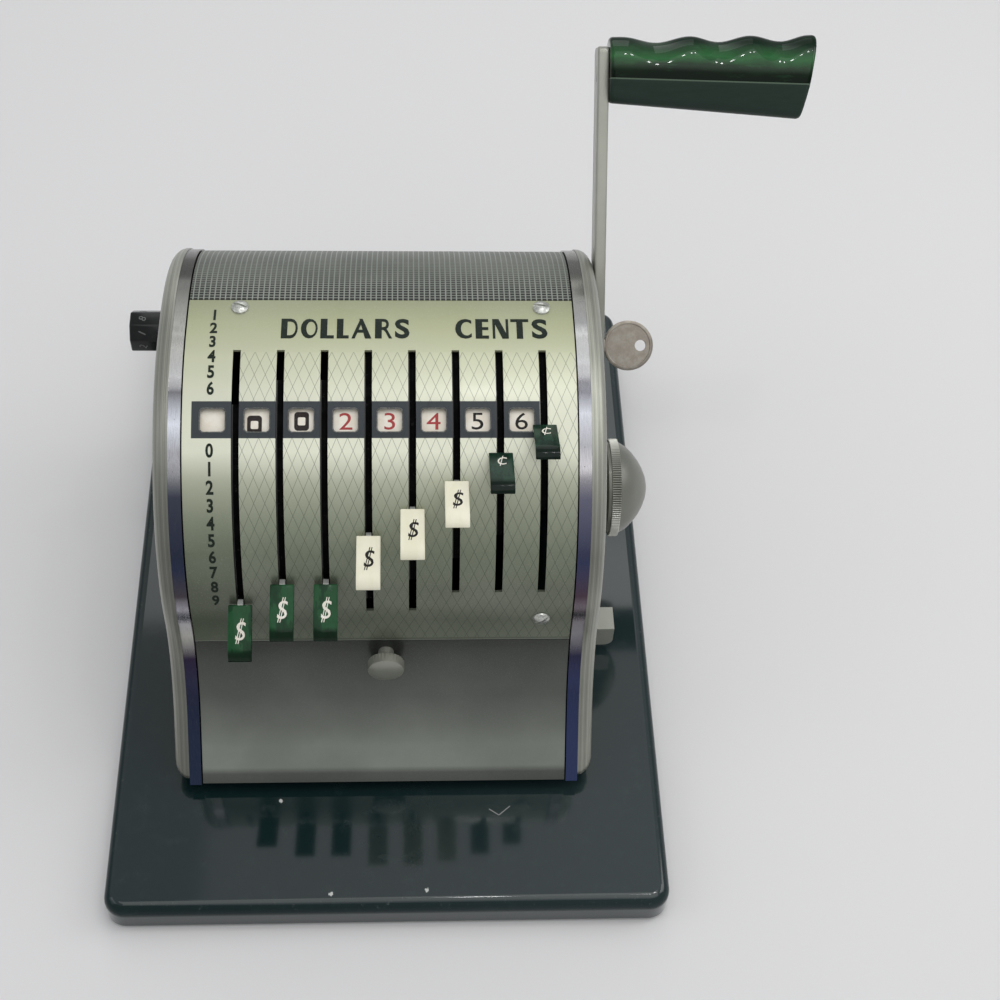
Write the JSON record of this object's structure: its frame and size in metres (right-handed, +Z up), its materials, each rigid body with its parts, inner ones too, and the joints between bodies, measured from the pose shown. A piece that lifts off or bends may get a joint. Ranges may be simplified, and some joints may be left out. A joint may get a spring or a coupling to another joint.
{
  "type": "check writer",
  "caption": "Desk check writer with a drum front, setting levers in slots above digit windows, and a pull handle that raises a platen to print.",
  "frame": {"origin": "centre of the middle foot's underside, midway along the base and on the centre plane of the drum body", "axes": "+X to the operator's right along the drum's shaft, +Y away from the operator, +Z up"},
  "size_m": [0.2734, 0.314, 0.2222],
  "materials": {
    "base_enamel": "gloss enamel",
    "sage_hammertone": "hammertone",
    "olive_face": "satin enamel",
    "cover_enamel": "embossed satin enamel",
    "bright_trim": "polished",
    "plain_steel": "machined",
    "nickel": "nickel plated",
    "foot_rubber": "matte",
    "green_cap": "gloss",
    "ivory_cap": "gloss",
    "dark_cap": "gloss",
    "cream_band": "printed enamel",
    "grip_resin": "gloss moulded resin",
    "black_knob": "gloss",
    "ink_rubber": "inked"
  },
  "bodies": {
    "housing": {"base_pan": "base_enamel", "bottom_cover": "plain_steel", "rubber_feet": "foot_rubber", "base_screws": "plain_steel", "side_plate_left": "plain_steel", "side_plate_right": "plain_steel", "trim_left": "bright_trim", "trim_right": "bright_trim", "cheek_left": "sage_hammertone", "cheek_right": "sage_hammertone", "faceplate": "olive_face", "face_screws": "sage_hammertone", "face_rail": "plain_steel", "lower_panel": "sage_hammertone", "top_cover": "cover_enamel", "tie_rods": "plain_steel", "cheek_screws": "sage_hammertone", "lever_shaft": "plain_steel", "detent_comb": "plain_steel", "lock_cylinder": "nickel", "return_spring": "plain_steel"},
    "lever_1": {"lever_sector_1": "plain_steel", "digit_band_1": "cream_band", "key_cap_1": "green_cap"},
    "lever_2": {"lever_sector_2": "plain_steel", "digit_band_2": "cream_band", "key_cap_2": "green_cap"},
    "lever_3": {"lever_sector_3": "plain_steel", "digit_band_3": "cream_band", "key_cap_3": "green_cap"},
    "lever_4": {"lever_sector_4": "plain_steel", "digit_band_4": "cream_band", "key_cap_4": "ivory_cap"},
    "lever_5": {"lever_sector_5": "plain_steel", "digit_band_5": "cream_band", "key_cap_5": "ivory_cap"},
    "lever_6": {"lever_sector_6": "plain_steel", "digit_band_6": "cream_band", "key_cap_6": "ivory_cap"},
    "lever_7": {"lever_sector_7": "plain_steel", "digit_band_7": "cream_band", "key_cap_7": "dark_cap"},
    "lever_8": {"lever_sector_8": "plain_steel", "digit_band_8": "cream_band", "key_cap_8": "dark_cap"},
    "handle": {"handle_shaft": "plain_steel", "handle_arm": "sage_hammertone", "handle_grip": "grip_resin", "grip_screw": "plain_steel", "handle_crank": "plain_steel"},
    "dome": {"hub_dome": "sage_hammertone"},
    "platen_slide": {"platen": "plain_steel"},
    "ink_frame": {"ink_carriage": "plain_steel"},
    "ink_roller": {"ink_roll": "ink_rubber"},
    "prefix": {"prefix_knob": "black_knob", "prefix_shaft_rod": "plain_steel"},
    "lock": {"lock_plug": "nickel", "key": "nickel"},
    "thumb": {"thumb_screw": "sage_hammertone"},
    "tab": {"tab_lever": "sage_hammertone"}
  },
  "joints": [
    {"name": "lever_1_turn", "type": "hinge", "parent": "housing", "child": "lever_1", "pos_m": [0, 0.003, 0.087], "axis": [-1, 0, 0], "range_deg": [0, 72]},
    {"name": "lever_2_turn", "type": "hinge", "parent": "housing", "child": "lever_2", "pos_m": [0, 0.003, 0.087], "axis": [-1, 0, 0], "range_deg": [-7.2, 64.8]},
    {"name": "lever_3_turn", "type": "hinge", "parent": "housing", "child": "lever_3", "pos_m": [0, 0.003, 0.087], "axis": [-1, 0, 0], "range_deg": [-7.2, 64.8]},
    {"name": "lever_4_turn", "type": "hinge", "parent": "housing", "child": "lever_4", "pos_m": [0, 0.003, 0.087], "axis": [-1, 0, 0], "range_deg": [-21.6, 50.4]},
    {"name": "lever_5_turn", "type": "hinge", "parent": "housing", "child": "lever_5", "pos_m": [0, 0.003, 0.087], "axis": [-1, 0, 0], "range_deg": [-28.8, 43.2]},
    {"name": "lever_6_turn", "type": "hinge", "parent": "housing", "child": "lever_6", "pos_m": [0, 0.003, 0.087], "axis": [-1, 0, 0], "range_deg": [-28.8, 36]},
    {"name": "lever_7_turn", "type": "hinge", "parent": "housing", "child": "lever_7", "pos_m": [0, 0.003, 0.087], "axis": [-1, 0, 0], "range_deg": [-36, 28.8]},
    {"name": "lever_8_turn", "type": "hinge", "parent": "housing", "child": "lever_8", "pos_m": [0, 0.003, 0.087], "axis": [-1, 0, 0], "range_deg": [-43.2, 21.6]},
    {"name": "handle_pull", "type": "hinge", "parent": "housing", "child": "handle", "pos_m": [0, -0.009, 0.0845], "axis": [1, 0, 0], "range_deg": [0, 60], "stiffness_Nm_per_rad": 0.6, "springref_deg": -28.65},
    {"name": "dome_turn", "type": "hinge", "parent": "handle", "child": "dome", "pos_m": [0.095, -0.009, 0.0845], "axis": [1, 0, 0], "continuous": true},
    {"name": "platen_rise", "type": "slide", "parent": "housing", "child": "platen_slide", "axis": [0, 0, 1], "range_m": [0, 0.005]},
    {"name": "ink_swing", "type": "hinge", "parent": "housing", "child": "ink_frame", "pos_m": [0, 0.003, 0.087], "axis": [1, 0, 0], "range_deg": [0, 15]},
    {"name": "ink_roll_turn", "type": "hinge", "parent": "ink_frame", "child": "ink_roller", "pos_m": [0, -0.05762, 0.04456], "axis": [1, 0, 0], "continuous": true},
    {"name": "prefix_turn", "type": "hinge", "parent": "housing", "child": "prefix", "pos_m": [-0.09, 0.0423, 0.1212], "axis": [-1, 0, 0], "continuous": true},
    {"name": "key_turn", "type": "hinge", "parent": "housing", "child": "lock", "pos_m": [0.08, 0.0457, 0.1092], "axis": [1, 0, 0], "range_deg": [0, 90]},
    {"name": "thumb_turn", "type": "hinge", "parent": "housing", "child": "thumb", "pos_m": [0.001, -0.08, 0.0694], "axis": [0, -1, 0], "continuous": true},
    {"name": "tab_press", "type": "hinge", "parent": "housing", "child": "tab", "pos_m": [0.075, 0.002, 0.036], "axis": [1, 0, 0], "range_deg": [0, 3], "stiffness_Nm_per_rad": 0.2, "springref_deg": -11.46}
  ],
  "couplings": [
    {"joint": "platen_rise", "follows": "handle_pull", "m_per_rad": 0.0047746},
    {"joint": "ink_swing", "follows": "handle_pull", "ratio": 0.25}
  ]
}
